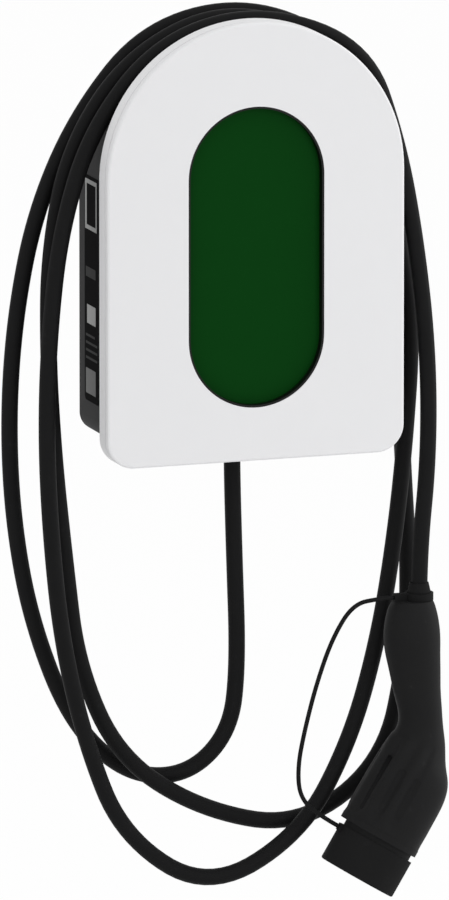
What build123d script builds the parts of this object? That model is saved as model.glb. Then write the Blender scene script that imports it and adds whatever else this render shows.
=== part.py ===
from build123d import *
import math
import os

os.makedirs("parts", exist_ok=True)

# A wall-hung car charging box with its cable wound round the body and a capped connector on the end.
# X runs to the right and Z up. The wall is the plane Y = 0, and the front faces -Y.
# A depth is always a distance from the wall towards the front. All sizes are millimetres.

# Front cover and overall depth
cover_width = 245.0
cover_height = 348.0
cover_depth = 21.0
cover_wall = 3.0
cover_corner = 22.0
cover_edge = 2.0
cover_groove_width = 1.2
cover_groove_depth = 0.8
cover_groove_back = 7.5
cover_post_radius = 4.5
cover_post_rise = 45.0
box_depth = 115.0

# Body behind the cover
body_side_inset = 14.5
body_bottom_inset = 10.0
body_corner = 15.0
body_wall = 3.5
back_wall = 4.0
rear_depth = 70.0
gasket_thickness = 2.0
gasket_inset = 0.9
lid_plate = 3.0
back_edge = 1.2
column_radius = 5.0
lower_column_rise = 35.0
middle_column_rise = 55.0
upper_column_angle = 40.0
slide_clearance = 0.4
screw_clearance = 0.15
blind_floor = 1.5

# Window in the cover
window_radius = 56.0
window_bottom_gap = 42.5
window_recess = 6.5
window_thickness = 2.5
light_ring_wall = 1.6
light_ring_flange = 3.0
light_ring_flange_thickness = 2.0
light_ring_ledge = 3.0
light_ring_front_gap = 0.3
press_clearance = 0.12
led_width = 3.0
led_height = 1.2
led_pitch = 22.0

# Boards and what stands on them
board_thickness = 1.6
board_width = 136.0
board_top_gap = 38.5
board_bottom_gap = 105.0
board_stand = 12.0
board_edge_margin = 6.0
stand_radius = 4.0
display_stand = 2.4
display_margin = 1.0
display_bite = 1.0
display_screw_share = 0.7
display_screw_rise = 30.0
display_chip = (34.0, 34.0, 1.0)
display_chip_drop = 20.0
processor_size = (26.0, 26.0, 3.0)
processor_x = 40.0
processor_drop = 35.0
meter_size = (18.0, 14.0, 2.0)
meter_x = 44.0
capacitor_radius = 5.0
capacitor_height = 14.0
capacitor_pitch = 14.0
capacitor_count = 3
capacitor_x = -58.0
capacitor_drop = 40.0
block_edge = 1.0
relay_size = (13.0, 29.0, 26.0)
relay_pitch = 17.0
relay_count = 4
relay_rise = 50.0
power_size = (52.0, 30.0, 24.0)
power_x = -20.0
power_rise = 96.0
header_size = (24.0, 9.0, 9.4)
header_rise = 72.0
ribbon_thickness = 1.0
ribbon_side_margin = 2.0
output_size = (62.0, 16.0, 18.0)
output_pitch = 12.0
output_rise = 8.0
output_screw_depth = 4.0
supply_size = (58.0, 34.0, 34.0)
supply_pitch = 11.0
supply_count = 5
supply_x = 50.0
supply_rise = 70.0
supply_stand = 8.0
supply_screw_depth = 6.0
supply_screw_rise = 6.0
supply_entry_depth = 14.0
supply_entry_hole = 3.4
terminal_hole = 2.6
sensor_radius = 18.0
sensor_bore = 9.0
sensor_height = 16.0
sensor_rise = 53.0
sensor_foot_width = 22.0

# Fasteners
lid_screw_radius = 2.0
lid_screw_bite = 9.0
screw_tip_gap = 1.0
cover_screw_radius = 1.75
cover_screw_length = 12.0
board_screw_radius = 1.5
board_screw_length = 7.0
connector_screw_radius = 1.5
connector_screw_length = 16.0
connector_screw_seat = 9.0
connector_screw_bore = 3.2

# Wall screws: the upper pair above the arch's centre, the lower pair above the body's underside
wall_hole_radius = 3.25
wall_hole_spacing_x = 176.0
wall_hole_rise = 29.5
wall_hole_lift = 85.0
wall_boss_radius = 8.0
wall_boss_height = 4.0

# Cable outlet and supply entry in the underside
outlet_depth = 55.0
gland_thread_radius = 12.5
gland_flange_radius = 16.0
gland_flange = 3.0
gland_nut_radius = 15.0
gland_nut_height = 14.0
gland_nut_edge = 4.0
gland_lock_height = 5.0
gland_wall = 2.2
gland_sleeve_reach = 8.0
gland_seal_height = 3.0
supply_gland_depth = 30.0
supply_bore_radius = 8.0

# Charging cable
cable_diameter = 13.2
cable_grip = 0.15
cable_inside = 10.0
cable_in_neck = 8.0
core_diameter = 3.2
core_ring_radius = 3.9
core_count = 5
core_bend = 5.0
core_straight = 9.0
core_above_sensor = 2.0

# Connector: a handle that flows into a round head, and a nose that leans in the plane of the wall
connector_depth = 101.0
bend_x = 138.5
bend_z = -435.0
nose_lean = 31.3
handle_top_z = -298.0
neck_x = 140.0
neck_top_z = -284.0
neck_radius = 9.2
neck_tip_radius = 7.6
neck_spigot_radius = 8.6
neck_spigot = 9.0
head_front = 61.0
head_width = 66.4
head_shift = -0.9
head_rim = 5.4
rim_radius = 33.5
nose_offset = 0.6
nose_radius = 29.7
nose_flat = 23.8
nose_length = 33.2
nose_wall = 3.2
nose_floor = 3.0
nose_recess = 4.0
spigot_inset = 4.5
spigot_length = 24.0
spigot_end_gap = 6.0
wire_channel_radius = 7.0
contact_wall = 1.0
contact_pocket_gap = 1.2
contact_depth = 24.0
contact_recess = 6.0
contact_floor = 4.0
power_bore = 3.0
pilot_bore = 1.5

# Oval sections of the handle from the top down: drop, shift from the neck's axis, lean, width, depth
handle_sections = [
    (0.0, -4.8, 0.0, 31.0, 30.0),
    (7.0, -5.8, 0.0, 38.4, 36.8),
    (17.0, -5.9, 0.0, 42.9, 40.5),
    (30.0, -5.8, 0.0, 45.2, 42.0),
    (44.0, -4.9, 0.0, 43.5, 41.0),
    (58.0, -3.2, 0.0, 40.6, 39.0),
    (72.0, -1.7, 2.0, 38.0, 37.3),
    (86.0, 0.5, 5.0, 35.7, 36.5),
    (99.0, 1.8, 11.5, 35.8, 37.8),
    (110.0, 1.5, 20.0, 41.0, 43.0),
]

# Round sections of the head along the nose: distance from the bend, shift across, width
head_sections = [
    (-14.0, -7.7, 51.0),
    (-3.0, -3.6, 59.6),
    (8.0, -1.5, 64.0),
    (20.0, head_shift, 65.6),
    (32.0, head_shift, 66.0),
    (44.0, head_shift, 66.2),
    (head_front - head_rim, head_shift, head_width),
]

# Grip flutes in the head: angle from its front and back towards the inside of the bend, radius, depth
flutes = [(68.6, 2.5, 1.3), (37.0, 10.0, 0.6), (12.0, 10.0, 0.6)]
flute_start = 0.0
flute_end = 48.0
flute_lean = 1.9
flute_end_round = 0.8

# Contacts about the nose's own centre: towards the flat side, then sideways
power_places = [(0, 0), (0, -14.8), (0, 14.8), (-12.7, -7.5), (-12.7, 7.5)]
pilot_places = [(11.0, -7.0), (11.0, 7.0)]

# Screws between the connector's halves, clear of the wires' channel and the nose's spigot
handle_screw_drop = 26.0
handle_screw_places = (-15.0, 8.7)
head_screw_places = [(2.0, -22.0), (8.0, 22.0)]

# Dust cap and its tether
cap_wall = 2.4
cap_clearance = 0.35
cap_length = 31.4
cap_end_gap = 0.6
cap_edge = 1.5
cap_lug_width = 6.0
cap_lug_length = 6.0
cap_lug_height = 2.5
tether_diameter = 3.5
tether_ring_wall = 2.0
tether_ring_height = 6.0
tether_ring_play = 1.0
tether_lug_reach = 9.5
tether_lug_width = 6.0
tether_gap = 0.3
tether_lead_length = 18.0

# Heights and half widths that follow from the sizes above
cover_half = cover_width / 2
body_half = cover_half - body_side_inset
body_straight = cover_height - cover_half - body_bottom_inset
wall_hole_spacing_z = body_straight + wall_hole_rise - wall_hole_lift
arch_z = wall_hole_spacing_z / 2 - wall_hole_rise
body_bottom = arch_z - body_straight
cover_bottom = body_bottom - body_bottom_inset
cover_back = box_depth - cover_depth
lid_back = rear_depth + gasket_thickness
lid_front = cover_back + lid_plate
lid_screw_length = lid_front - rear_depth + lid_screw_bite
cover_inner = box_depth - cover_wall
window_bottom_z = cover_bottom + window_bottom_gap + window_radius
window_straight = arch_z - window_bottom_z
window_middle_z = arch_z - window_straight / 2
ring_outer = window_radius - press_clearance
ring_inner = ring_outer - light_ring_wall
window_front = box_depth - window_recess
window_back = window_front - window_thickness
ring_back = window_back - light_ring_ledge
display_back = lid_front + display_stand
display_front = display_back + board_thickness
board_back = back_wall + board_stand
board_front = board_back + board_thickness
board_top = arch_z + body_half - board_top_gap
board_bottom = body_bottom + board_bottom_gap
board_middle_z = (board_top + board_bottom) / 2
board_height = board_top - board_bottom
relay_z = board_bottom + relay_rise
power_z = board_bottom + power_rise
header_z = board_bottom + header_rise
supply_z = body_bottom + supply_rise
sensor_z = body_bottom + sensor_rise
output_z = board_bottom + output_size[1] / 2 + board_edge_margin + output_rise
output_bottom = output_z - output_size[1] / 2
output_entry = board_front + output_size[2] / 2
cable_radius = cable_diameter / 2
cable_start_z = body_bottom + body_wall + gland_lock_height + cable_inside
column_x = body_half - body_wall - 0.7 * column_radius
connector_y = -connector_depth


def arch_face(side_inset, bottom_inset, corner):
    """The box's outline: a half circle on straight sides, drawn inside the cover's outline."""
    half = cover_half - side_inset
    bottom = cover_bottom + bottom_inset
    straight = Pos(0, (arch_z + bottom) / 2) * Rectangle(2 * half, arch_z - bottom)
    outline = straight + Pos(0, arch_z) * Circle(half)
    return fillet(outline.vertices().group_by(Axis.Y)[0], corner)


def pill_face(radius):
    """A long round-ended window outline about the window's two centres."""
    return Pos(0, window_middle_z) * Rot(0, 0, 90) * SlotCenterToCenter(window_straight, 2 * radius)


def solid_between(face, back, front):
    """A face drawn in the wall's plane, made solid between two depths."""
    return Plane.XZ.offset(back) * extrude(face, front - back)


def facing(x, z, depth):
    """A plane parallel to the wall whose normal points to the front."""
    return Plane((x, -depth, z), x_dir=(1, 0, 0), z_dir=(0, -1, 0))


def facing_wall(x, z, depth):
    """A plane parallel to the wall whose normal points to the wall."""
    return Plane((x, -depth, z), x_dir=(1, 0, 0), z_dir=(0, 1, 0))


def hanging(x, depth, z):
    """A level plane whose normal points down."""
    return Plane((x, -depth, z), x_dir=(1, 0, 0), z_dir=(0, 0, -1))


def rod(radius, height):
    return Cylinder(radius, height, align=(Align.CENTER, Align.CENTER, Align.MIN))


def brick(width, depth, height):
    return Box(width, depth, height, align=(Align.CENTER, Align.CENTER, Align.MIN))


def post(x, z, radius, back, front):
    return facing(x, z, back) * rod(radius, front - back)


def panel(x, z, width, height, back, front):
    return facing(x, z, back) * brick(width, height, front - back)


def screw(radius, length):
    """A pan-head screw with a socket. Its head stands on the plane and its shank goes below it."""
    head_radius = 1.9 * radius
    head_height = 1.3 * radius
    head = fillet(rod(head_radius, head_height).edges().sort_by(Axis.Z)[-1], 0.3 * radius)
    shank = Pos(0, 0, -length) * rod(radius, length)
    socket = Pos(0, 0, 0.5 * head_height) * extrude(RegularPolygon(radius, 6), head_height)
    return head + shank - socket


def save(node, *solids):
    """Write one node. Several solids stay separate pieces of the node's group."""
    shape = solids[0] if len(solids) == 1 else Compound(children=list(solids))
    export_step(shape, f"parts/{node}.step")


def fillet_radii(points):
    """The largest tangent arc at each inner point of a cord's route."""
    radii = []
    for before, here, after in zip(points, points[1:], points[2:]):
        run_in = Vector(*here) - Vector(*before)
        run_out = Vector(*after) - Vector(*here)
        half_turn = math.radians(run_in.get_angle(run_out)) / 2
        radii.append(0.45 * min(run_in.length, run_out.length) / math.tan(half_turn))
    return radii


def cord_tube(name, points, diameter):
    """A round tube along straight runs joined by tangent arcs."""
    radii = fillet_radii(points)
    route = FilletPolyline(*points, radius=radii)
    tube = sweep(Plane(route @ 0, z_dir=route % 0) * Circle(diameter / 2), path=route)
    expected = math.pi * diameter ** 2 / 4 * route.length
    print(name, "radii", [round(r) for r in radii])
    print(name, "length", round(route.length), "volume share", round(tube.volume / expected, 4))
    return tube


# Places that several pieces share
upper_column_x = column_x * math.sin(math.radians(upper_column_angle))
upper_column_z = arch_z + column_x * math.cos(math.radians(upper_column_angle))
column_places = [
    (side * x, z)
    for side in (-1, 1)
    for x, z in (
        (column_x, body_bottom + lower_column_rise),
        (column_x, (body_bottom + arch_z) / 2 + middle_column_rise),
        (upper_column_x, upper_column_z),
    )
]
cover_post_x = (body_half + cover_half - cover_wall) / 2
cover_post_places = [
    (side * cover_post_x, z) for side in (-1, 1) for z in (cover_bottom + cover_post_rise, arch_z)
]
wall_hole_places = [
    (side * wall_hole_spacing_x / 2, level * wall_hole_spacing_z / 2) for side in (-1, 1) for level in (-1, 1)
]
board_screw_x = board_width / 2 - board_edge_margin
board_places = [
    (side * board_screw_x, z)
    for side in (-1, 1)
    for z in (board_bottom + board_edge_margin, board_top - board_edge_margin)
]
display_reach = display_screw_share * window_radius
display_places = [(0, arch_z + display_reach), (0, window_bottom_z - display_reach)]
display_places += [(side * display_reach, window_middle_z + display_screw_rise) for side in (-1, 1)]


def rear_housing():
    shell = solid_between(arch_face(body_side_inset, body_bottom_inset, body_corner), 0, rear_depth)
    inside = arch_face(body_side_inset + body_wall, body_bottom_inset + body_wall, body_corner - body_wall)
    shell -= solid_between(inside, back_wall, rear_depth + 1)
    outline = solid_between(arch_face(body_side_inset, body_bottom_inset, body_corner), 0, rear_depth)
    for x, z in column_places:
        shell += post(x, z, column_radius, back_wall, rear_depth) & outline
    for x, z in wall_hole_places:
        shell += post(x, z, wall_boss_radius, back_wall, back_wall + wall_boss_height)
    for x, z in board_places:
        shell += post(x, z, stand_radius, back_wall, board_back)
    shell += panel(supply_x, supply_z, supply_size[0], supply_size[1], back_wall, back_wall + supply_stand)
    for x, z in column_places:
        hole_end = rear_depth - lid_screw_bite - screw_tip_gap
        shell -= post(x, z, lid_screw_radius + screw_clearance, hole_end, rear_depth + 1)
    for x, z in wall_hole_places:
        shell -= post(x, z, wall_hole_radius, -1, back_wall + wall_boss_height + 1)
    for x, z in board_places:
        hole_end = board_back - board_screw_length
        shell -= post(x, z, board_screw_radius + screw_clearance, hole_end, board_back + 1)
    for x, depth in ((0, outlet_depth), (supply_x, supply_gland_depth)):
        shell -= hanging(x, depth, body_bottom + body_wall + 1) * rod(
            gland_thread_radius + screw_clearance, body_wall + 2
        )
    rim = shell.faces().filter_by(Plane.XZ).sort_by(Axis.Y)[-1]
    return fillet(rim.outer_wire().edges(), back_edge)


def housing_gasket():
    outer_side = body_side_inset + gasket_inset
    outer = arch_face(outer_side, body_bottom_inset + gasket_inset, body_corner - gasket_inset)
    inner = arch_face(body_side_inset + body_wall, body_bottom_inset + body_wall, body_corner - body_wall)
    return solid_between(outer - inner, rear_depth, lid_back)


def inner_lid():
    outline = arch_face(body_side_inset, body_bottom_inset, body_corner)
    inside = arch_face(body_side_inset + body_wall, body_bottom_inset + body_wall, body_corner - body_wall)
    rim_block = solid_between(outline, lid_back, cover_back)
    lid = rim_block - solid_between(inside, lid_back - 1, cover_back)
    flange_inset = cover_wall + slide_clearance
    flange = arch_face(flange_inset, flange_inset, cover_corner - flange_inset)
    lid += solid_between(flange, cover_back, lid_front)
    for x, z in column_places:
        lid += post(x, z, column_radius, lid_back, cover_back) & rim_block
    for x, z in display_places:
        lid += post(x, z, stand_radius, lid_front, display_back)
    for x, z in column_places:
        lid -= post(x, z, lid_screw_radius + screw_clearance, lid_back - 1, lid_front + 1)
    for x, z in cover_post_places:
        lid -= post(x, z, cover_screw_radius + screw_clearance, cover_back - 1, lid_front + 1)
    for x, z in display_places:
        lid -= post(x, z, board_screw_radius + screw_clearance, lid_front - blind_floor, display_back + 1)
    slot_width = header_size[0] - 2 * ribbon_side_margin + 2 * slide_clearance
    lid -= panel(
        0, header_z, slot_width, ribbon_thickness + 2 * slide_clearance, cover_back - 1, lid_front + 1
    )
    return lid


def front_cover():
    shell = solid_between(arch_face(0, 0, cover_corner), cover_back, box_depth)
    front_edges = shell.faces().sort_by(Axis.Y)[0].outer_wire().edges()
    shell = fillet(front_edges, cover_edge)
    inside = arch_face(cover_wall, cover_wall, cover_corner - cover_wall)
    shell -= solid_between(inside, cover_back - 1, cover_inner)
    groove_back = box_depth - cover_groove_back
    groove_outer = arch_face(-1, -1, cover_corner + 1)
    groove_inner = arch_face(cover_groove_depth, cover_groove_depth, cover_corner - cover_groove_depth)
    shell -= solid_between(groove_outer - groove_inner, groove_back, groove_back + cover_groove_width)
    for x, z in cover_post_places:
        shell += post(x, z, cover_post_radius, lid_front, cover_inner)
    for x, z in cover_post_places:
        shell -= post(x, z, cover_screw_radius + screw_clearance, lid_front - 1, cover_inner - blind_floor)
    return shell - solid_between(pill_face(window_radius), cover_inner - 1, box_depth + 1)


def light_ring():
    ring = solid_between(pill_face(ring_outer), ring_back, box_depth - light_ring_front_gap)
    flange = pill_face(window_radius + light_ring_flange)
    ring += solid_between(flange, cover_inner - light_ring_flange_thickness, cover_inner)
    ring -= solid_between(pill_face(ring_inner), window_back, box_depth)
    return ring - solid_between(pill_face(ring_inner - light_ring_ledge), ring_back - 1, box_depth)


def window_panel():
    return solid_between(pill_face(ring_inner - press_clearance), window_back, window_front)


def led_places():
    """Even places under the light ring, all the way round."""
    middle = ring_outer - 0.5 * (light_ring_wall + light_ring_ledge)
    loop = pill_face(middle).face().outer_wire()
    count = round(loop.length / led_pitch)
    return [loop @ (i / count) for i in range(count)]


def display_board():
    board = solid_between(pill_face(window_radius - display_margin), display_back, display_front)
    for place in led_places():
        board += panel(place.X, place.Y, led_width, led_width, display_front, display_front + led_height)
    width, height, thickness = display_chip
    chip_z = window_middle_z - display_chip_drop
    board += panel(0, chip_z, width, height, display_front, display_front + thickness)
    for x, z in display_places:
        board -= post(x, z, board_screw_radius + screw_clearance, display_back - 1, display_front + 1)
    return board


def main_board():
    board = panel(0, board_middle_z, board_width, board_height, board_back, board_front)
    for (x, z), (width, height, thickness) in (
        ((processor_x, board_top - processor_drop), processor_size),
        ((meter_x, relay_z), meter_size),
    ):
        board += panel(x, z, width, height, board_front, board_front + thickness)
    for i in range(capacitor_count):
        z = board_top - capacitor_drop - capacitor_pitch * i
        board += post(capacitor_x, z, capacitor_radius, board_front, board_front + capacitor_height)
    for x, z in board_places:
        board -= post(x, z, board_screw_radius + screw_clearance, board_back - 1, board_front + 1)
    return board


def relays():
    first = -(relay_count - 1) / 2
    blocks = []
    for i in range(relay_count):
        x = (first + i) * relay_pitch
        block = panel(x, relay_z, relay_size[0], relay_size[1], board_front, board_front + relay_size[2])
        blocks.append(fillet(block.edges().filter_by(Axis.Y), block_edge))
    return blocks


def power_module():
    block = panel(power_x, power_z, power_size[0], power_size[1], board_front, board_front + power_size[2])
    return fillet(block.edges().filter_by(Axis.Y), block_edge)


def board_header():
    return panel(0, header_z, header_size[0], header_size[1], board_front, board_front + header_size[2])


def ribbon_lead():
    width = header_size[0] - 2 * ribbon_side_margin
    return panel(0, header_z, width, ribbon_thickness, board_front + header_size[2], display_back)


def core_ends():
    """Where each core enters the output terminal from below."""
    first = -(core_count - 1) / 2
    return [(first + i) * output_pitch for i in range(core_count)]


def output_terminal():
    block = panel(0, output_z, output_size[0], output_size[1], board_front, board_front + output_size[2])
    top = board_front + output_size[2]
    for x in core_ends():
        block -= post(x, output_z, terminal_hole, top - output_screw_depth, top + 1)
    return block


def supply_terminal():
    back = back_wall + supply_stand
    block = panel(supply_x, supply_z, supply_size[0], supply_size[1], back, back + supply_size[2])
    top = back + supply_size[2]
    for i in range(supply_count):
        x = supply_x + (i - (supply_count - 1) / 2) * supply_pitch
        block -= post(x, supply_z + supply_screw_rise, terminal_hole, top - supply_screw_depth, top + 1)
        entry = hanging(x, back + supply_size[2] / 2, supply_z - supply_size[1] / 2 + supply_entry_depth)
        block -= entry * rod(supply_entry_hole, supply_entry_depth + 1)
    return block


def residual_current_sensor():
    """A ring that all the cores pass through, standing on the back wall by its foot."""
    lower = sensor_z - sensor_height / 2
    ring = Pos(0, -outlet_depth, lower) * rod(sensor_radius, sensor_height)
    foot = panel(0, sensor_z, sensor_foot_width, sensor_height, back_wall, outlet_depth)
    return ring + foot - Pos(0, -outlet_depth, lower - 1) * rod(sensor_bore, sensor_height + 2)


def cable_cores():
    """The cable's cores, from the end of the sheath through the sensor to the output terminal."""
    cores = []
    for i, end_x in enumerate(core_ends()):
        angle = math.radians(90 + 360 * i / core_count)
        x = core_ring_radius * math.cos(angle)
        y = -outlet_depth + core_ring_radius * math.sin(angle)
        sensor_top = sensor_z + sensor_height / 2 + core_above_sensor
        points = [
            (x, y, cable_start_z),
            (x, y, sensor_top),
            (end_x, -output_entry, output_bottom - core_straight),
            (end_x, -output_entry, output_bottom),
        ]
        route = FilletPolyline(*points, radius=core_bend)
        profile = Plane(route @ 0, z_dir=route % 0) * Circle(core_diameter / 2)
        cores.append(sweep(profile, path=route))
    return cores


def gland_sleeve(bore):
    """The threaded sleeve through the underside, with its outer flange and the thread for the nut."""
    inner_top = body_bottom + body_wall + gland_lock_height
    length = inner_top - body_bottom
    sleeve = Pos(0, 0, -length) * rod(gland_thread_radius, length)
    sleeve += rod(gland_flange_radius, gland_flange)
    outer_length = gland_flange + gland_sleeve_reach
    sleeve += rod(bore + gland_wall, outer_length)
    return sleeve - Pos(0, 0, -length - 1) * rod(bore, length + outer_length + 2)


def gland_seal(bore):
    ring = rod(bore + gland_wall, gland_seal_height) - rod(bore, gland_seal_height)
    return Pos(0, 0, gland_flange + gland_sleeve_reach) * ring


def gland_nut(bore):
    """A dome nut that covers the sleeve's end and closes on the seal."""
    nut = rod(gland_nut_radius, gland_nut_height)
    nut = fillet(nut.edges().sort_by(Axis.Z)[-1], gland_nut_edge)
    hexagon = extrude(RegularPolygon(gland_nut_radius * 1.06, 6), gland_nut_height)
    nut = nut & hexagon
    hollow = rod(bore + gland_wall + screw_clearance, gland_sleeve_reach + gland_seal_height)
    return Pos(0, 0, gland_flange) * (nut - hollow - rod(bore + cable_grip, gland_nut_height))


def gland_locknut():
    ring = extrude(RegularPolygon(gland_flange_radius, 6), gland_lock_height)
    return ring - rod(gland_thread_radius + screw_clearance, gland_lock_height)


def save_gland(name, x, depth, bore):
    outside = hanging(x, depth, body_bottom)
    inside = hanging(x, depth, body_bottom + body_wall + gland_lock_height)
    save(f"{name}_gland_body", outside * gland_sleeve(bore))
    save(f"{name}_gland_seal", outside * gland_seal(bore))
    save(f"{name}_gland_nut", outside * gland_nut(bore))
    save(f"{name}_gland_locknut", inside * gland_locknut())


# Route of the charging cable: out of the gland, three loose turns over the body, then to the connector
cable_points = [
    (0, -outlet_depth, cable_start_z),
    (0, -outlet_depth, -187),
    (3, -52, -259),
    (9, -44, -353),
    (4, -39, -407),
    (-32, -37, -439),
    (-81, -37, -437),
    (-128, -37, -391),
    (-160, -37, -309),
    (-175, -37, -228),
    (-179, -37, -145),
    (-173, -37, -62),
    (-156, -37, 20),
    (-121, -37, 95),
    (-64, -38, 158),
    (19, -38, 175),
    (98, -38, 138),
    (125, -38, 57),
    (136, -38, -25),
    (145, -38, -108),
    (148, -38, -191),
    (153, -39, -274),
    (151, -40, -356),
    (131, -44, -440),
    (58, -51, -486),
    (-26, -56, -465),
    (-95, -58, -418),
    (-129, -58, -341),
    (-139, -58, -258),
    (-148, -58, -175),
    (-153, -58, -92),
    (-152, -58, -9),
    (-135, -58, 73),
    (-86, -58, 142),
    (-8, -58, 176),
    (76, -58, 149),
    (119, -58, 78),
    (132, -58, -6),
    (147, -59, -87),
    (143, -61, -171),
    (133, -64, -253),
    (118, -67, -335),
    (94, -69, -415),
    (53, -70, -487),
    (-26, -73, -527),
    (-98, -75, -477),
    (-129, -77, -399),
    (-148, -77, -318),
    (-157, -77, -235),
    (-161, -77, -152),
    (-158, -77, -69),
    (-148, -77, 14),
    (-122, -77, 92),
    (-65, -77, 157),
    (17, -77, 175),
    (99, -77, 142),
    (130, -79, 64),
    (143, -86, -18),
    (150, -93, -101),
    (149, -98, -184),
    (neck_x, connector_y, -262),
    (neck_x, connector_y, handle_top_z - cable_in_neck),
]

# The nose's own directions: along it to the tip, and across it to the outside of the bend
lean = math.radians(nose_lean)
nose_along = Vector(-math.sin(lean), 0, -math.cos(lean))
nose_across = Vector(math.cos(lean), 0, -math.sin(lean))
bend_point = Vector(bend_x, connector_y, bend_z)
nose_tip = head_front + nose_length
cap_tip = nose_tip + cap_end_gap + cap_wall
cap_back = cap_tip - cap_length
cap_lug_side = nose_offset - (nose_radius + cap_clearance + cap_wall) - cap_lug_height


def leaning_plane(place, degrees):
    """A plane square to a line that leans from straight down. Its y axis points to the front."""
    angle = math.radians(degrees)
    along = (-math.sin(angle), 0, -math.cos(angle))
    return Plane(place, x_dir=(math.cos(angle), 0, -math.sin(angle)), z_dir=along)


def nose_plane(distance):
    """A plane square to the nose, this far from the bend. Its x axis points to the nose's flat side."""
    return leaning_plane(bend_point + nose_along * distance, nose_lean)


def nose_face(grow):
    """The mating outline: a circle with one flat side, grown by a wall or a clearance."""
    circle = Circle(nose_radius + grow)
    beyond = Rectangle(nose_radius, 4 * nose_radius, align=(Align.MIN, Align.CENTER))
    flat = Pos(nose_flat + grow, 0) * beyond
    return Pos(nose_offset, 0) * (circle - flat)


def nose_solid(grow, start, end):
    return nose_plane(start) * extrude(nose_face(grow), end - start)


def connector_body():
    """The moulded handle and head in one flowing form, before it is divided into halves."""
    sections = []
    for drop, shift, degrees, width, depth in handle_sections:
        middle = (neck_x + shift, connector_y, handle_top_z - drop)
        sections.append(leaning_plane(middle, degrees) * Ellipse(width / 2, depth / 2))
    for along, shift, width in head_sections:
        sections.append(nose_plane(along) * Pos(shift, 0) * Ellipse(width / 2, width / 2))
    rim = nose_plane(head_front - head_rim) * Pos(head_shift, 0) * rod(rim_radius, head_rim)
    return loft(sections) + rim


def flute_cutters():
    """Round-ended cutters that lean out with the head, the same on its front and its back."""
    length = flute_end - flute_start
    lean_out = length * math.tan(math.radians(flute_lean))
    cutters = []
    for angle, radius, depth in flutes:
        reach = head_width / 2 + radius - depth - lean_out
        cutter = fillet(rod(radius, length).edges(), flute_end_round * radius)
        for turn in (angle, 180 - angle):
            around = nose_plane(flute_start) * Pos(head_shift, 0) * Rot(0, 0, turn)
            cutters.append(around * Pos(0, reach) * Rot(-flute_lean, 0, 0) * cutter)
    return cutters


def connector_screw_planes():
    """A seat for each screw between the halves, facing the wall."""
    places = [(neck_x + across, handle_top_z - handle_screw_drop) for across in handle_screw_places]
    for along, across in head_screw_places:
        place = bend_point + nose_along * along + nose_across * across
        places.append((place.X, place.Z))
    return [facing_wall(x, z, connector_depth - connector_screw_seat) for x, z in places]


def connector_halves():
    """The two moulded halves, parted in the plane of the bend, with room for the wires and the nose."""
    body = connector_body()
    for cutter in flute_cutters():
        body -= cutter
    spigot_end = head_front - spigot_length - spigot_end_gap
    body -= nose_solid(-spigot_inset + slide_clearance, spigot_end, head_front + 1)
    body -= Pos(neck_x, connector_y, handle_top_z + 1) * Rot(180, 0, 0) * rod(
        neck_spigot_radius + screw_clearance, neck_spigot + 1
    )
    body -= Pos(neck_x, connector_y, bend_z) * rod(wire_channel_radius, handle_top_z - bend_z)
    body -= Pos(*bend_point) * Sphere(wire_channel_radius)
    body -= nose_plane(0) * rod(wire_channel_radius, spigot_end + 1)
    shank_hole = rod(connector_screw_radius + screw_clearance, connector_screw_length + 1)
    for seat in connector_screw_planes():
        body -= seat * rod(connector_screw_bore, head_width)
        body -= seat * Pos(0, 0, -connector_screw_length) * shank_hole
    reach = 2 * (handle_top_z - bend_z + cap_tip)
    front = Pos(bend_x, connector_y - reach / 2, bend_z) * Box(reach, reach, reach)
    back = Pos(bend_x, connector_y + reach / 2, bend_z) * Box(reach, reach, reach)
    return body & front, body & back


def connector_neck():
    """The strain relief: a spigot held between the halves, and a collar that tapers to the cable."""
    outline = Polyline(
        (cable_radius + cable_grip, handle_top_z - neck_spigot),
        (neck_spigot_radius, handle_top_z - neck_spigot),
        (neck_spigot_radius, handle_top_z),
        (neck_radius, handle_top_z),
        (neck_radius, handle_top_z + tether_ring_height + tether_ring_play),
        (neck_tip_radius, neck_top_z),
        (cable_radius + cable_grip, neck_top_z),
        close=True,
    )
    profile = Plane.XZ * make_face(outline)
    return Pos(neck_x, connector_y, 0) * revolve(profile, Axis.Z)


def nose_shell():
    """The nose: a cup with one flat side, on a spigot that the halves hold."""
    shell = nose_solid(0, head_front, nose_tip)
    shell += nose_solid(-spigot_inset, head_front - spigot_length, head_front)
    return shell - nose_solid(-nose_wall, head_front + nose_floor, nose_tip + 1)


def contact_carrier():
    """The insulator on the nose's floor, with a pocket for each contact."""
    face = nose_tip - nose_recess
    carrier = nose_solid(-nose_wall - press_clearance, head_front + nose_floor, face)
    pockets = nose_plane(face - contact_depth) * Pos(nose_offset, 0)
    for places, bore in ((power_places, power_bore), (pilot_places, pilot_bore)):
        radius = bore + contact_wall + contact_pocket_gap
        for x, y in places:
            carrier -= pockets * Pos(x, y) * rod(radius, contact_depth + 1)
    return carrier


def contacts(places, bore):
    """Round socket contacts, each standing on the floor of its pocket."""
    floor = nose_tip - nose_recess - contact_depth
    length = contact_depth - contact_recess
    sleeve = rod(bore + contact_wall, length) - Pos(0, 0, contact_floor) * rod(bore, length)
    return [nose_plane(floor) * Pos(nose_offset + x, y) * sleeve for x, y in places]


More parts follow.
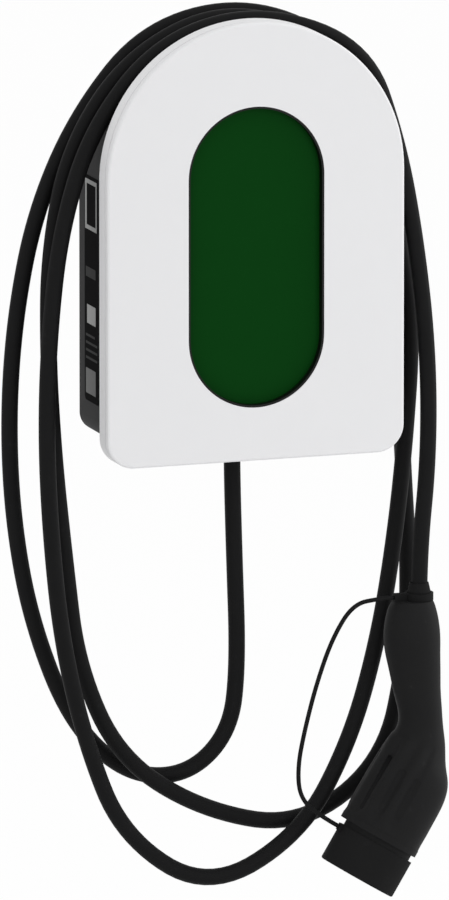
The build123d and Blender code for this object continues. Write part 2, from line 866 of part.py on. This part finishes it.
def dust_cap():
    """A cup over the nose with a lug for the tether."""
    cap = nose_solid(cap_clearance + cap_wall, cap_back, cap_tip)
    cap = fillet(cap.faces().sort_by(Axis((0, 0, 0), tuple(nose_along)))[-1].edges(), cap_edge)
    cap -= nose_solid(cap_clearance, cap_back - 1, cap_tip - cap_wall)
    lug_middle = cap_back + cap_lug_length / 2
    reach = cap_lug_height + cap_wall / 2
    lug = Box(reach, cap_lug_width, cap_lug_length, align=(Align.MIN, Align.CENTER, Align.CENTER))
    return cap + nose_plane(lug_middle) * Pos(cap_lug_side, 0) * lug


def tether_ring():
    """A ring loose on the neck, with a flat lug where the tether starts."""
    inner = neck_radius + slide_clearance / 2
    outer = inner + tether_ring_wall
    reach = outer + tether_lug_reach
    ring = rod(outer, tether_ring_height)
    ring += Box(reach, tether_lug_width, tether_ring_height, align=(Align.MAX, Align.CENTER, Align.MIN))
    return Pos(neck_x, connector_y, handle_top_z) * (ring - rod(inner, tether_ring_height))


tether_start_x = neck_x - (neck_radius + slide_clearance / 2 + tether_ring_wall + tether_lug_reach)
tether_start_z = handle_top_z + tether_ring_height / 2
lug_point = bend_point + nose_along * (cap_back + cap_lug_length / 2)
tether_end = lug_point + nose_across * (cap_lug_side - tether_gap)
tether_lead = tether_end - nose_across * tether_lead_length

# Route of the cap's tether, in the connector's own plane
tether_points = [
    (tether_start_x, connector_y, tether_start_z),
    (107, connector_y, tether_start_z),
    (85, connector_y, -298),
    (68, connector_y, -324),
    (55, connector_y, -359),
    (45, connector_y, -396),
    (39, connector_y, -426),
    (41, connector_y, -451),
    tuple(tether_lead),
    tuple(tether_end),
]

lid_screws = [facing(x, z, lid_front) * screw(lid_screw_radius, lid_screw_length) for x, z in column_places]
cover_screws = [
    facing_wall(x, z, cover_back) * screw(cover_screw_radius, cover_screw_length)
    for x, z in cover_post_places
]
board_screws = [
    facing(x, z, board_front) * screw(board_screw_radius, board_screw_length) for x, z in board_places
]
connector_screws = [
    seat * screw(connector_screw_radius, connector_screw_length) for seat in connector_screw_planes()
]
display_screw_length = display_front - lid_front + display_bite
display_screws = [
    facing(x, z, display_front) * screw(board_screw_radius, display_screw_length) for x, z in display_places
]

save("rear_housing", rear_housing())
save("housing_gasket", housing_gasket())
save("inner_lid", inner_lid())
save("front_cover", front_cover())
save("light_ring", light_ring())
save("window_panel", window_panel())
save("display_board", display_board())
save("main_board", main_board())
save("relays", *relays())
save("power_module", power_module())
save("board_header", board_header())
save("ribbon_lead", ribbon_lead())
save("output_terminal", output_terminal())
save("supply_terminal", supply_terminal())
save("residual_current_sensor", residual_current_sensor())
save("cable_cores", *cable_cores())
save_gland("outlet", 0, outlet_depth, cable_radius + cable_grip)
save_gland("supply", supply_x, supply_gland_depth, supply_bore_radius)
save("charging_cable", cord_tube("charging_cable", cable_points, cable_diameter))
front_half, back_half = connector_halves()
save("connector_shell_front", front_half)
save("connector_shell_back", back_half)
save("connector_neck", connector_neck())
save("nose_shell", nose_shell())
save("contact_carrier", contact_carrier())
save("power_contacts", *contacts(power_places, power_bore))
save("pilot_contacts", *contacts(pilot_places, pilot_bore))
save("dust_cap", dust_cap())
save("tether_ring", tether_ring())
save("cap_tether", cord_tube("cap_tether", tether_points, tether_diameter))
save("lid_screws", *lid_screws)
save("cover_screws", *cover_screws)
save("main_board_screws", *board_screws)
save("display_board_screws", *display_screws)
save("connector_screws", *connector_screws)
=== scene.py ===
import math

import bmesh
import bpy
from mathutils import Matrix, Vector


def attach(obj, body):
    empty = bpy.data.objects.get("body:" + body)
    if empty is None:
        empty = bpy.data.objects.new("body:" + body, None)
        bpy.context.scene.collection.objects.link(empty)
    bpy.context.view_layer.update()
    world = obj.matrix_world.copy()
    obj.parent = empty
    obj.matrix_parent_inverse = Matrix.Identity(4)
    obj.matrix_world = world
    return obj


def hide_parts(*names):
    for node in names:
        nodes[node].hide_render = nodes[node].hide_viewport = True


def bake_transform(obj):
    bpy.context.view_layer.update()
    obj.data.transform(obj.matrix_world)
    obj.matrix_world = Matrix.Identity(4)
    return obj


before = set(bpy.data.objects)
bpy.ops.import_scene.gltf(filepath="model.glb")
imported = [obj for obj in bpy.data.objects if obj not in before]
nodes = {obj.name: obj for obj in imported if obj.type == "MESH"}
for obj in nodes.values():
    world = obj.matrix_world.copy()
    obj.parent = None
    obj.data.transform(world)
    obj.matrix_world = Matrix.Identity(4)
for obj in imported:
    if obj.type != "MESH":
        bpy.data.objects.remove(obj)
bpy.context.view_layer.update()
BOX = "box"

# Sizes and places in metres, the same as the solids'
body_half = 0.108
cable_diameter = 0.0132
tether_diameter = 0.0035
bend_point = Vector((0.1385, -0.101, -0.435))
nose_lean = math.radians(31.3)
head_shift = -0.0009

# Camera: the photograph's angle, far off through a long lens. The picture's height is taken at the aim point.
photo_azimuth = math.radians(-18.88)
photo_elevation = math.radians(11.25)
photo_height = 0.7043
camera_distance = 14.0
camera_reach = 200.0
sensor = 36.0
aim_point = Vector((0.0, -0.115, -0.175))
aim_left = 0.0251
aim_up = 0.0085


class Value:
    """A shader value. Values join with plain arithmetic, and node() makes any other node.

    A Value of a tree alone, with no socket, is only there to make the first nodes.
    """

    def __init__(self, tree, out=None):
        self.tree = tree
        self.out = out

    def node(self, kind, settings=None, inputs=None, output=0):
        """A node with its settings first, then its inputs by name or number. A Value is linked."""
        made = self.tree.nodes.new(kind)
        for name, setting in (settings or {}).items():
            setattr(made, name, setting)
        for key, value in (inputs or {}).items():
            if isinstance(value, Value):
                self.tree.links.new(value.out, made.inputs[key])
            else:
                made.inputs[key].default_value = value
        return Value(self.tree, made.outputs[output])

    def math(self, operation, first, second=0.0, clamp=False):
        settings = {"operation": operation, "use_clamp": clamp}
        return self.node("ShaderNodeMath", settings, {0: first, 1: second})

    def __add__(self, other):
        return self.math("ADD", self, other)

    def __sub__(self, other):
        return self.math("SUBTRACT", self, other)

    def __mul__(self, other):
        return self.math("MULTIPLY", self, other)

    def __radd__(self, other):
        return self.math("ADD", other, self)

    def __rsub__(self, other):
        return self.math("SUBTRACT", other, self)

    def __rmul__(self, other):
        return self.math("MULTIPLY", other, self)

    def __gt__(self, other):
        return self.math("GREATER_THAN", self, other)

    def __lt__(self, other):
        return self.math("LESS_THAN", self, other)

    def clamped(self):
        return self.math("ADD", self, 0.0, clamp=True)

    def into(self, shader, name):
        self.tree.links.new(self.out, shader.inputs[name])


def new_material(name):
    """A material with its Principled shader, and the place on the object, in metres, to start from."""
    material = bpy.data.materials.new(name)
    material.use_nodes = True
    tree = material.node_tree
    shader = tree.nodes["Principled BSDF"]
    return material, shader, Value(tree).node("ShaderNodeTexCoord", output="Object")


def noise(place, cells, detail):
    """Noise about zero, roughly from -0.5 to 0.5, with so many cells for each metre."""
    inputs = {"Vector": place, "Scale": cells, "Detail": detail}
    return place.node("ShaderNodeTexNoise", None, inputs) - 0.5


# Sockets of a colour Mix node and a Brick node, by number
mix_factor, mix_low, mix_high = 0, 6, 7
mix_color = 2
brick_joints = 1


def blend(amount, low, high):
    """A colour between two, by a Value from 0 to 1. Either colour may be a Value too."""
    ends = {mix_low: low, mix_high: high}
    for key, color in ends.items():
        if not isinstance(color, Value):
            ends[key] = (*color, 1.0)
    inputs = {mix_factor: amount, **ends}
    return amount.node("ShaderNodeMix", {"data_type": "RGBA"}, inputs, mix_color)


def shaded(color, share):
    """A colour made darker or paler by a share."""
    return [channel * share for channel in color]


def emboss(shader, relief, strength, distance):
    """A fine relief in the surface, with a Value as its height."""
    inputs = {"Strength": strength, "Distance": distance, "Height": relief}
    relief.node("ShaderNodeBump", None, inputs).into(shader, "Normal")


# Moulded finish: cells for each metre, then how much each layer of noise counts
mottle_cells = 55.0
scuff_cells = 130.0
finer_grain = 2.7
mottle_share = 0.6
mottle_gloss, speck_gloss, scuff_gloss = 0.12, 0.10, 0.2
scuff_contrast, scuff_cutoff = 6.0, 0.9
scuff_paleness = 2.2
fine_relief, mottle_relief = 0.5, 0.4
grain_strength = 0.5


def moulded(name, color, spread=0.1, roughness=0.5, grain=1500.0, height=0.00003, scuff=0.0, specular=0.5):
    """Moulded plastic or rubber: a spark-eroded grain, soft mottling, and scuffs that catch the light."""
    material, shader, place = new_material(name)
    mottle = noise(place, mottle_cells, detail=3.0)
    speck = noise(place, grain, detail=1.0)
    fine = noise(place, grain * finer_grain, detail=0.0)
    shade = (mottle * mottle_share + speck * (1 - mottle_share) + 0.5).clamped()
    tone = blend(shade, shaded(color, 1 - spread), shaded(color, 1 + spread))
    finish = roughness + mottle * mottle_gloss + speck * speck_gloss
    if scuff:
        scratches = noise(place, scuff_cells, detail=6.0)
        rubbed = (scratches * scuff_contrast - scuff_cutoff).clamped() * scuff
        tone = blend(rubbed, tone, shaded(color, scuff_paleness))
        finish = finish + rubbed * scuff_gloss
    tone.into(shader, "Base Color")
    finish.clamped().into(shader, "Roughness")
    emboss(shader, speck + fine * fine_relief + mottle * mottle_relief, grain_strength, height)
    shader.inputs["Specular IOR Level"].default_value = specular
    return material


# Metal finish
tool_mark_cells = 2600.0
tool_mark_depth = 0.00001
tool_mark_gloss = 0.16
tool_mark_strength = 0.3
tarnish_cells = 240.0
tarnish_gloss = 0.1
tarnish_shades = (0.8, 1.08)


def turned_metal(name, color, roughness):
    """Plated or turned metal with fine tool marks and a slight tarnish."""
    material, shader, place = new_material(name)
    marks = noise(place, tool_mark_cells, detail=2.0)
    tarnish = noise(place, tarnish_cells, detail=3.0)
    dull, bright = (shaded(color, share) for share in tarnish_shades)
    blend((tarnish + 0.5).clamped(), dull, bright).into(shader, "Base Color")
    (roughness + marks * tool_mark_gloss + tarnish * tarnish_gloss).clamped().into(shader, "Roughness")
    emboss(shader, marks, tool_mark_strength, tool_mark_depth)
    shader.inputs["Metallic"].default_value = 1.0
    return material


# Circuit board finish
track_cells = 260.0
track_share, weave_share, board_base = 0.6, 0.4, 0.2
track_height = 0.00004
track_strength = 0.3
weave_cells = 1500.0
weave_gloss = 0.12
lacquer_roughness = 0.36
lacquer_dark = (0.006, 0.060, 0.030)
lacquer_pale = (0.016, 0.125, 0.062)


def circuit_board(name):
    """Green lacquer over copper tracks, with a fine weave under it."""
    material, shader, place = new_material(name)
    bricks = {"Vector": place, "Scale": track_cells}
    tracks = place.node("ShaderNodeTexBrick", {"offset": 0.5}, bricks, brick_joints)
    weave = noise(place, weave_cells, detail=1.0)
    amount = (tracks * track_share + weave * weave_share + board_base).clamped()
    blend(amount, lacquer_dark, lacquer_pale).into(shader, "Base Color")
    (lacquer_roughness + weave * weave_gloss).into(shader, "Roughness")
    emboss(shader, tracks, track_strength, track_height)
    return material


paint = {
    "cover": moulded("cover_plastic", (0.800, 0.800, 0.812), spread=0.012, roughness=0.44,
                     grain=2600.0, specular=0.35),
    "body": moulded("body_plastic", (0.0255, 0.0255, 0.026), spread=0.12, roughness=0.62,
                    height=0.00009, scuff=0.25, specular=0.08),
    "rim": moulded("light_guide", (0.0035, 0.0038, 0.0035), roughness=0.36,
                   grain=2200.0, height=0.00001, specular=0.2),
    "window": moulded("window_plastic", (0.0024, 0.0433, 0.0050), spread=0.05, roughness=0.42,
                      grain=2600.0, height=0.00001, specular=0.02),
    "seal": moulded("seal_rubber", (0.012, 0.012, 0.012), roughness=0.78,
                    grain=1100.0, height=0.00006, specular=0.2),
    "board": circuit_board("circuit_board"),
    "case": moulded("relay_case", (0.018, 0.018, 0.020), roughness=0.45, height=0.00004),
    "module": moulded("module_case", (0.050, 0.050, 0.055), height=0.00004),
    "header": moulded("header_plastic", (0.55, 0.52, 0.44), spread=0.05),
    "ribbon": moulded("ribbon_plastic", (0.30, 0.30, 0.31), spread=0.06, roughness=0.45),
    "terminal": moulded("terminal_plastic", (0.26, 0.27, 0.28), spread=0.05),
    "core": moulded("core_insulation", (0.11, 0.055, 0.025), roughness=0.45),
    "gland": moulded("gland_plastic", (0.014, 0.014, 0.0145), spread=0.12,
                     height=0.00005, scuff=0.2, specular=0.10),
    "cable": moulded("cable_sheath", (0.0106, 0.0106, 0.0109), spread=0.2, roughness=0.52,
                     grain=1300.0, height=0.00007, scuff=0.5, specular=0.04),
    "connector": moulded("connector_plastic", (0.0148, 0.0148, 0.0151), spread=0.15, roughness=0.52,
                         grain=1300.0, height=0.00007, scuff=0.4, specular=0.035),
    "carrier": moulded("carrier_plastic", (0.019, 0.019, 0.0193), roughness=0.6, specular=0.05),
    "cap": moulded("cap_rubber", (0.0126, 0.0126, 0.0128), spread=0.15, roughness=0.64,
                   height=0.00008, scuff=0.4, specular=0.03),
    "contact": turned_metal("contact_metal", (0.72, 0.70, 0.64), roughness=0.3),
    "steel": turned_metal("screw_steel", (0.48, 0.48, 0.50), roughness=0.34),
}

dress = {
    "cover": ["front_cover"],
    "body": ["rear_housing", "inner_lid"],
    "rim": ["light_ring"],
    "window": ["window_panel"],
    "seal": ["housing_gasket", "outlet_gland_seal", "supply_gland_seal"],
    "board": ["display_board", "main_board"],
    "case": ["relays", "residual_current_sensor"],
    "module": ["power_module"],
    "header": ["board_header"],
    "ribbon": ["ribbon_lead"],
    "terminal": ["output_terminal", "supply_terminal"],
    "core": ["cable_cores"],
    "gland": [
        f"{side}_gland_{piece}" for side in ("outlet", "supply") for piece in ("body", "nut", "locknut")
    ],
    "cable": ["charging_cable"],
    "connector": ["connector_shell_front", "connector_shell_back"],
    "carrier": ["nose_shell", "contact_carrier"],
    "contact": ["power_contacts", "pilot_contacts"],
    "cap": ["dust_cap", "connector_neck", "tether_ring", "cap_tether"],
    "steel": [
        f"{place}_screws" for place in ("lid", "cover", "main_board", "display_board", "connector")
    ],
}


def put_material(obj, material):
    obj.data.materials.clear()
    obj.data.materials.append(material)


for key, names in dress.items():
    for name in names:
        put_material(nodes[name], paint[key])


def add_object(name, data):
    obj = bpy.data.objects.new(name, data)
    bpy.context.scene.collection.objects.link(obj)
    return obj


# Cords: routes are in millimetres
millimetres_in_metre = 1000
curve_order = 3
curve_steps = 10
cable_round_steps = 6
tether_sides = 14


def route_curve(name, points, radius):
    """A smooth curve with the route's points as its control points."""
    curve = bpy.data.curves.new(name, "CURVE")
    curve.dimensions = "3D"
    spline = curve.splines.new("NURBS")
    spline.points.add(len(points) - 1)
    for point, place in zip(spline.points, points):
        point.co = (*(length / millimetres_in_metre for length in place), 1.0)
    spline.order_u = curve_order
    spline.use_endpoint_u = True
    spline.resolution_u = curve_steps
    curve.bevel_depth = radius
    curve.bevel_resolution = cable_round_steps
    curve.use_fill_caps = True
    return add_object(name, curve)


# Soft grip flutes on the connector's head, over the slots in its solids: angle from the front or the
# back towards the inside of the bend and half width, in degrees, then depth, negative for a ridge.
# They start and end at distances from the bend along the nose.
flutes = [
    (69.0, 6.5, 0.0020),
    (54.0, 6.0, -0.0012),
    (39.0, 6.0, 0.0016),
    (26.0, 5.5, -0.0007),
    (13.0, 6.0, 0.0014),
]
flute_start, flute_end = -0.026, 0.055
flute_rise, flute_fall = 0.018, 0.009

# Mesh of the fluted halves. Edges longer than these are split, in two rounds. The outside of the head
# lies further than head_inside from the nose's axis and faces away from it.
weld_distance = 0.000001
longest_edges = (0.0024, 0.0012)
head_inside = 0.019
outside_least = 0.4
crease_angle = math.radians(32)


def smooth_step(value, start, end):
    """From 0 at the start to 1 at the end, with soft ends."""
    share = min(max((value - start) / (end - start), 0.0), 1.0)
    return share * share * (3 - 2 * share)


def fluted_copy(name, node):
    """A finer copy of one half of the connector, with its flutes pressed in softly."""
    along = Vector((-math.sin(nose_lean), 0, -math.cos(nose_lean)))
    across = Vector((math.cos(nose_lean), 0, -math.sin(nose_lean)))

    def about_nose(place):
        """Distance from the bend along the nose, and the offset out from the nose's axis."""
        offset = place - bend_point
        distance = offset.dot(along)
        outward = offset - distance * along - head_shift * across
        return distance, outward

    def on_head(face):
        distance, outward = about_nose(face.calc_center_median())
        faces_out = face.normal.dot(outward.normalized()) > outside_least
        return faces_out and outward.length > head_inside and flute_start < distance < flute_end

    shape = bmesh.new()
    shape.from_mesh(node.data)
    bmesh.ops.remove_doubles(shape, verts=shape.verts, dist=weld_distance)
    for longest in longest_edges:
        shape.normal_update()
        head_edges = {edge for face in shape.faces if on_head(face) for edge in face.edges}
        split = [edge for edge in shape.edges if edge in head_edges and edge.calc_length() > longest]
        bmesh.ops.subdivide_edges(shape, edges=split, cuts=1)
        bmesh.ops.triangulate(shape, faces=shape.faces)
    shape.normal_update()
    for vert in {vert for face in shape.faces if on_head(face) for vert in face.verts}:
        distance, outward = about_nose(vert.co)
        angle = math.degrees(math.atan2(-outward.dot(across), abs(outward.y)))
        press = sum(
            depth * math.exp(-(((angle - middle) / width) ** 2)) for middle, width, depth in flutes
        )
        press *= smooth_step(distance, flute_start, flute_start + flute_rise)
        press *= 1 - smooth_step(distance, flute_end - flute_fall, flute_end)
        vert.co -= press * outward.normalized()
    mesh = bpy.data.meshes.new(name)
    shape.to_mesh(mesh)
    shape.free()
    if "custom_normal" in mesh.attributes:
        mesh.attributes.remove(mesh.attributes["custom_normal"])
    mesh.shade_smooth()
    mesh.set_sharp_from_angle(angle=crease_angle)
    half = add_object(name, mesh)
    put_material(half, paint["connector"])
    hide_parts(node.name)
    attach(half, BOX)
    return half


connector_halves = [
    fluted_copy(f"connector_half_{side}", nodes[f"connector_shell_{side}"]) for side in ("front", "back")
]

# Charging cable: out of the gland, three loose turns over the body, then to the connector
cable_route = [
    (0, -55, -146.5), (0, -55, -187), (3, -52, -259), (9, -44, -353), (4, -39, -408), (-31, -37, -441),
    (-81, -37, -437), (-128, -37, -391), (-160, -37, -309), (-175, -37, -228), (-179, -37, -145),
    (-173, -37, -62), (-156, -37, 20), (-121, -37, 95), (-65, -38, 160), (19, -38, 175), (98, -38, 138),
    (125, -38, 57), (136, -38, -25), (145, -38, -108), (148, -38, -191), (153, -39, -274),
    (151, -40, -356), (131, -44, -440), (58, -51, -486), (-26, -56, -465), (-95, -58, -418),
    (-129, -58, -341), (-139, -58, -258), (-148, -58, -175), (-153, -58, -92), (-152, -58, -9),
    (-135, -58, 73), (-86, -58, 142), (-8, -58, 176), (76, -58, 149), (119, -58, 78), (136, -58, -6),
    (149, -59, -87), (143, -61, -171), (133, -64, -253), (118, -67, -335), (94, -69, -415),
    (53, -70, -487), (-26, -73, -527), (-98, -75, -477), (-129, -77, -399), (-148, -77, -318),
    (-157, -77, -235), (-161, -77, -152), (-158, -77, -69), (-148, -77, 14), (-122, -77, 92),
    (-65, -77, 157), (17, -77, 175), (103, -77, 142), (130, -79, 64), (143, -86, -18), (150, -93, -101),
    (149, -98, -184), (140, -101, -262), (140, -101, -306),
]
cable = route_curve("charging_lead", cable_route, cable_diameter / 2)
put_material(cable, paint["cable"])
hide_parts("charging_cable")
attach(cable, BOX)
connector_pieces = connector_halves + [
    nodes[name]
    for name in (
        "connector_neck", "nose_shell", "contact_carrier", "power_contacts", "pilot_contacts",
        "connector_screws", "tether_ring", "dust_cap",
    )
]

# Tether of the dust cap
tether_route = [
    (119.1, -101, -295), (107, -101, -295), (85, -101, -298), (68, -101, -324), (55, -101, -359),
    (45, -101, -396), (39, -101, -426), (41, -101, -451), (57.8, -101, -466.4), (73.15, -101, -475.8),
]
tether_line = route_curve("tether_line", tether_route, 0.0)
graph = bpy.context.evaluated_depsgraph_get()
line_mesh = bpy.data.meshes.new_from_object(tether_line.evaluated_get(graph))
tether_path = [vertex.co.copy() for vertex in line_mesh.vertices]
bpy.data.objects.remove(tether_line)


def tube_mesh(name, path, radius, sides):
    """A round tube along a path in the connector's plane, closed at both ends."""
    across = Vector((0, 1, 0))
    verts = []
    faces = []
    for i, place in enumerate(path):
        before = path[max(i - 1, 0)]
        after = path[min(i + 1, len(path) - 1)]
        along = (after - before).normalized()
        side = along.cross(across).normalized()
        for k in range(sides):
            turn = 2 * math.pi * k / sides
            verts.append(place + radius * (math.cos(turn) * side + math.sin(turn) * across))
    for i in range(len(path) - 1):
        for k in range(sides):
            a = i * sides + k
            b = i * sides + (k + 1) % sides
            faces.append((a, b, b + sides, a + sides))
    faces.append(tuple(reversed(range(sides))))
    faces.append(tuple(range(len(verts) - sides, len(verts))))
    mesh = bpy.data.meshes.new(name)
    mesh.from_pydata(verts, [], faces)
    for polygon in mesh.polygons:
        polygon.use_smooth = len(polygon.vertices) == 4
    mesh.update()
    return add_object(name, mesh)


tether = tube_mesh("tether_cord", tether_path, tether_diameter / 2, tether_sides)
put_material(tether, paint["cap"])
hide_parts("cap_tether")
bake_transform(tether)

# Blank film on the left side of the body: its back and front depth, its lowest and highest point
film_depth = (0.015, 0.062)
film_z = (-0.137, 0.043)
film_corner = 0.004
film_thickness = 0.0003
film_edge = 0.4 * film_thickness
corner_steps = 8

# Film finish. A pale field has its paleness, its back and front depth, and its lowest and highest point.
# The second takes the inside of the first away, which leaves a frame.
film_dark = (0.0050, 0.0050, 0.0052)
film_pale = (0.50, 0.505, 0.50)
film_roughness = 0.42
film_specular = 0.002
film_fields = [
    (0.85, 0.0165, 0.0450, 0.0000, 0.0400),
    (-0.85, 0.0205, 0.0423, 0.0035, 0.0365),
    (0.12, 0.0180, 0.0420, -0.0380, -0.0300),
    (0.90, 0.0210, 0.0420, -0.0750, -0.0600),
    (0.12, 0.0180, 0.0400, -0.0855, -0.0835),
    (0.12, 0.0180, 0.0460, -0.0915, -0.0895),
    (0.12, 0.0180, 0.0460, -0.0975, -0.0955),
    (0.12, 0.0180, 0.0460, -0.1035, -0.1015),
    (0.42, 0.0180, 0.0420, -0.1310, -0.1110),
]
wear_cells = 700.0
wear_base, wear_share, wear_gloss = 0.96, 0.3, 0.15
wear_strength = 0.3
wear_height = 0.00002


def rounded_plate(name, low, high, corner, thickness, edge):
    """A thin plate with rounded corners on the body's left side, with a softened outer edge."""
    outline = []
    for turn, (y, z) in enumerate((
        (high[0] - corner, high[1] - corner), (low[0] + corner, high[1] - corner),
        (low[0] + corner, low[1] + corner), (high[0] - corner, low[1] + corner),
    )):
        for k in range(corner_steps + 1):
            angle = math.pi / 2 * (turn + k / corner_steps)
            outline.append((y + corner * math.cos(angle), z + corner * math.sin(angle)))
    shape = bmesh.new()
    ring = [shape.verts.new((-body_half, y, z)) for y, z in outline]
    base = shape.faces.new(ring)
    top = bmesh.ops.extrude_face_region(shape, geom=[base])["geom"]
    raised = [piece for piece in top if isinstance(piece, bmesh.types.BMVert)]
    bmesh.ops.translate(shape, verts=raised, vec=(-thickness, 0, 0))
    rim = [side for side in shape.edges if all(vert in raised for vert in side.verts)]
    bmesh.ops.bevel(shape, geom=rim, offset=edge, segments=2, affect="EDGES")
    bmesh.ops.recalc_face_normals(shape, faces=shape.faces)
    mesh = bpy.data.meshes.new(name)
    shape.to_mesh(mesh)
    shape.free()
    return add_object(name, mesh)


def film_material(name):
    """A dark satin film with plain pale fields: a frame, two blocks, four bars and a patch."""
    material, shader, place = new_material(name)
    depth = 0.0 - place.node("ShaderNodeSeparateXYZ", None, {"Vector": place}, "Y")
    level = place.node("ShaderNodeSeparateXYZ", None, {"Vector": place}, "Z")

    def field(back, front, bottom, top):
        return (depth > back) * (depth < front) * (level > bottom) * (level < top)

    pale = sum(field(*edges) * paleness for paleness, *edges in film_fields)
    wear = noise(place, wear_cells, detail=3.0)
    amount = (pale * (wear_base + wear * wear_share)).clamped()
    blend(amount, film_dark, film_pale).into(shader, "Base Color")
    (film_roughness + wear * wear_gloss).into(shader, "Roughness")
    emboss(shader, wear, wear_strength, wear_height)
    shader.inputs["Specular IOR Level"].default_value = film_specular
    return material


film_low = (-film_depth[1], film_z[0])
film_high = (-film_depth[0], film_z[1])
film = rounded_plate("side_film", film_low, film_high, film_corner, film_thickness, film_edge)
put_material(film, film_material("film_print"))
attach(film, BOX)

# Floor and studio
floor_reach = 60.0
floor_level = -0.75
floor_white = 0.96
floor_roughness = 0.9
paper_cells = 40.0
paper_dark = (0.86, 0.86, 0.86)
paper_pale = (0.90, 0.90, 0.90)
plain_white = (1.0, 1.0, 1.0, 1.0)
studio_level = 0.68

floor_mesh = bpy.data.meshes.new("floor")
floor_corners = [
    (x * floor_reach, y * floor_reach, floor_level) for x, y in ((-1, -1), (1, -1), (1, 1), (-1, 1))
]
floor_mesh.from_pydata(floor_corners, [], [(0, 1, 2, 3)])
floor = add_object("floor", floor_mesh)


def seen_rays(tree):
    """1 for the rays that should meet plain white: the camera's, and those in gloss and glass."""
    camera, glossy, transmission = (
        Value(tree).node("ShaderNodeLightPath", output=f"Is {kind} Ray")
        for kind in ("Camera", "Glossy", "Transmission")
    )
    return (camera + glossy + transmission).clamped()


def floor_paper(name):
    """White paper that looks evenly lit, takes light as paper does, and is clear from below."""
    material, shader, place = new_material(name)
    tree = material.node_tree
    fibres = noise(place, paper_cells, detail=3.0)
    blend((fibres + 0.5).clamped(), paper_dark, paper_pale).into(shader, "Base Color")
    shader.inputs["Roughness"].default_value = floor_roughness
    white_share = seen_rays(tree) * floor_white
    matte = Value(tree, shader.outputs[0])
    glow = place.node("ShaderNodeEmission", None, {"Color": plain_white, "Strength": 1.0})
    top_side = place.node("ShaderNodeMixShader", None, {0: white_share, 1: matte, 2: glow})
    from_below = place.node("ShaderNodeNewGeometry", output="Backfacing")
    clear = place.node("ShaderNodeBsdfTransparent")
    both_sides = place.node("ShaderNodeMixShader", None, {0: from_below, 1: top_side, 2: clear})
    both_sides.into(tree.nodes["Material Output"], "Surface")
    return material


floor_mesh.materials.append(floor_paper("floor_paper"))

world = bpy.data.worlds.new("studio")
bpy.context.scene.world = world
world.use_nodes = True
sky = world.node_tree.nodes["Background"]
sky.inputs["Color"].default_value = plain_white
(seen_rays(world.node_tree) * (1.0 - studio_level) + studio_level).into(sky, "Strength")

# Softboxes: place, width and height in metres, power in watts. All point at the middle of the part.
light_target = Vector((0.0, -0.05, -0.15))
softboxes = {
    "front_box": ((0.9, -3.0, 0.9), (2.4, 2.4), 19.0),
    "right_box": ((2.7, -0.35, 0.3), (1.4, 2.4), 30.0),
    "left_box": ((-2.7, -0.5, 0.9), (1.4, 2.0), 6.0),
    "top_box": ((0.0, -0.8, 2.6), (2.0, 2.0), 10.0),
}
for name, (place, size, power) in softboxes.items():
    light = bpy.data.lights.new(name, "AREA")
    light.shape = "RECTANGLE"
    light.size, light.size_y = size
    light.energy = power
    box = add_object(name, light)
    box.location = place
    box.rotation_mode = "QUATERNION"
    box.rotation_quaternion = (light_target - Vector(place)).to_track_quat("-Z", "Y")

camera_data = bpy.data.cameras.new("photo_camera")
camera_data.sensor_width = sensor
camera_data.lens = sensor * camera_distance / photo_height
camera_data.clip_end = camera_reach
camera = add_object("photo_camera", camera_data)
look = Vector((
    -math.sin(photo_azimuth) * math.cos(photo_elevation),
    math.cos(photo_azimuth) * math.cos(photo_elevation),
    -math.sin(photo_elevation),
))
rightward = Vector((math.cos(photo_azimuth), math.sin(photo_azimuth), 0.0))
upward = rightward.cross(look)
camera.location = aim_point - aim_left * rightward + aim_up * upward - camera_distance * look
camera.rotation_mode = "QUATERNION"
camera.rotation_quaternion = look.to_track_quat("-Z", "Y")
bpy.context.scene.camera = camera
bpy.context.scene.view_settings.view_transform = "Standard"
